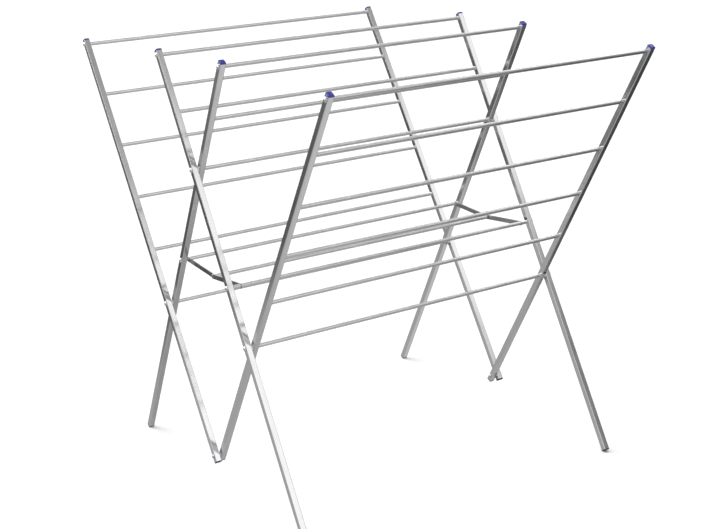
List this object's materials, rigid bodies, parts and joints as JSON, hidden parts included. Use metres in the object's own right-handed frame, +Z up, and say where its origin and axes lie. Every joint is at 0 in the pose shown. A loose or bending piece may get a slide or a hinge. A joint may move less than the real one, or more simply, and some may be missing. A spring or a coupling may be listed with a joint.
{
  "type": "folding clothes drying rack",
  "caption": "Folding accordion clothes drying rack: crossed legs and two hanging wings of square steel tube, joined by round rods, with folding stays.",
  "frame": {"origin": "on the floor, under the middle of the rack", "axes": "+Z up, +Y to the back, +X to the right along the rods"},
  "size_m": [0.934, 1.2486, 1.1073],
  "materials": {
    "tube": "polished stainless steel square tube",
    "rod": "drawn stainless steel rod",
    "rivet": "satin steel rivet",
    "stay": "dull stamped steel",
    "top_cap": "moulded blue plastic",
    "end_cap": "moulded dark navy plastic",
    "washer": "natural nylon"
  },
  "bodies": {
    "rear_leg_frame": {"rear_leg_tube_left": "tube", "rear_leg_tube_right": "tube", "rear_leg_top_cap_left": "top_cap", "rear_leg_top_cap_right": "top_cap", "rear_leg_foot_left": "end_cap", "rear_leg_foot_right": "end_cap", "rear_leg_rod_1": "rod", "rear_leg_rod_2": "rod", "rear_leg_stay_rod": "rod"},
    "front_leg_frame": {"front_leg_tube_left": "tube", "front_leg_tube_right": "tube", "front_leg_top_cap_left": "top_cap", "front_leg_top_cap_right": "top_cap", "front_leg_foot_left": "end_cap", "front_leg_foot_right": "end_cap", "front_leg_rod_1": "rod", "front_leg_rod_2": "rod", "front_leg_stay_rod": "rod", "leg_pivot_rod": "rod", "front_wing_pivot_rod": "rod", "leg_pivot_spacer_left": "washer", "leg_pivot_spacer_right": "washer", "front_wing_spacer_left": "washer", "front_wing_spacer_right": "washer"},
    "rear_wing_frame": {"rear_wing_tube_left": "tube", "rear_wing_tube_right": "tube", "rear_wing_top_cap_left": "top_cap", "rear_wing_top_cap_right": "top_cap", "rear_wing_end_cap_left": "end_cap", "rear_wing_end_cap_right": "end_cap", "rear_wing_rod_1": "rod", "rear_wing_rod_2": "rod", "rear_wing_rod_3": "rod", "rear_wing_rod_4": "rod", "rear_wing_rod_5": "rod", "rear_wing_pivot_rod": "rod", "rear_wing_spacer_left": "washer", "rear_wing_spacer_right": "washer", "lower_pin_spacer_left": "washer", "lower_pin_spacer_right": "washer", "lower_pin_left": "rivet", "lower_pin_right": "rivet"},
    "front_wing_frame": {"front_wing_tube_left": "tube", "front_wing_tube_right": "tube", "front_wing_top_cap_left": "top_cap", "front_wing_top_cap_right": "top_cap", "front_wing_end_cap_left": "end_cap", "front_wing_end_cap_right": "end_cap", "front_wing_rod_1": "rod", "front_wing_rod_2": "rod", "front_wing_rod_3": "rod", "front_wing_rod_4": "rod", "front_wing_rod_5": "rod"},
    "rear_stay": {"rear_stay_link_left": "stay", "rear_stay_link_right": "stay", "stay_middle_rod": "rod"},
    "front_stay": {"front_stay_link_left": "stay", "front_stay_link_right": "stay", "stay_rivet_left": "rivet", "stay_rivet_right": "rivet"}
  },
  "joints": [
    {"name": "fold", "type": "hinge", "parent": "rear_leg_frame", "child": "front_leg_frame", "pos_m": [0, 0, 0.82866], "axis": [1, 0, 0], "range_deg": [0, 52]},
    {"name": "rear_wing_fold", "type": "hinge", "parent": "rear_leg_frame", "child": "rear_wing_frame", "pos_m": [0, 0.21816, 0.43509], "axis": [1, 0, 0], "range_deg": [0, 54.38]},
    {"name": "front_wing_fold", "type": "hinge", "parent": "front_leg_frame", "child": "front_wing_frame", "pos_m": [0, -0.21816, 0.43509], "axis": [1, 0, 0], "range_deg": [-54.38, 0]},
    {"name": "rear_stay_fold", "type": "hinge", "parent": "rear_leg_frame", "child": "rear_stay", "pos_m": [0, 0.14544, 0.56628], "axis": [1, 0, 0], "range_deg": [0, 105.33]},
    {"name": "front_stay_fold", "type": "hinge", "parent": "front_leg_frame", "child": "front_stay", "pos_m": [0, -0.14544, 0.56628], "axis": [1, 0, 0], "range_deg": [-105.33, 0]}
  ],
  "couplings": [
    {"joint": "rear_wing_fold", "follows": "fold", "ratio": 1.0456},
    {"joint": "front_wing_fold", "follows": "fold", "ratio": -1.0456},
    {"joint": "rear_stay_fold", "follows": "fold", "ratio": 2.0254},
    {"joint": "front_stay_fold", "follows": "fold", "ratio": -2.0254}
  ]
}
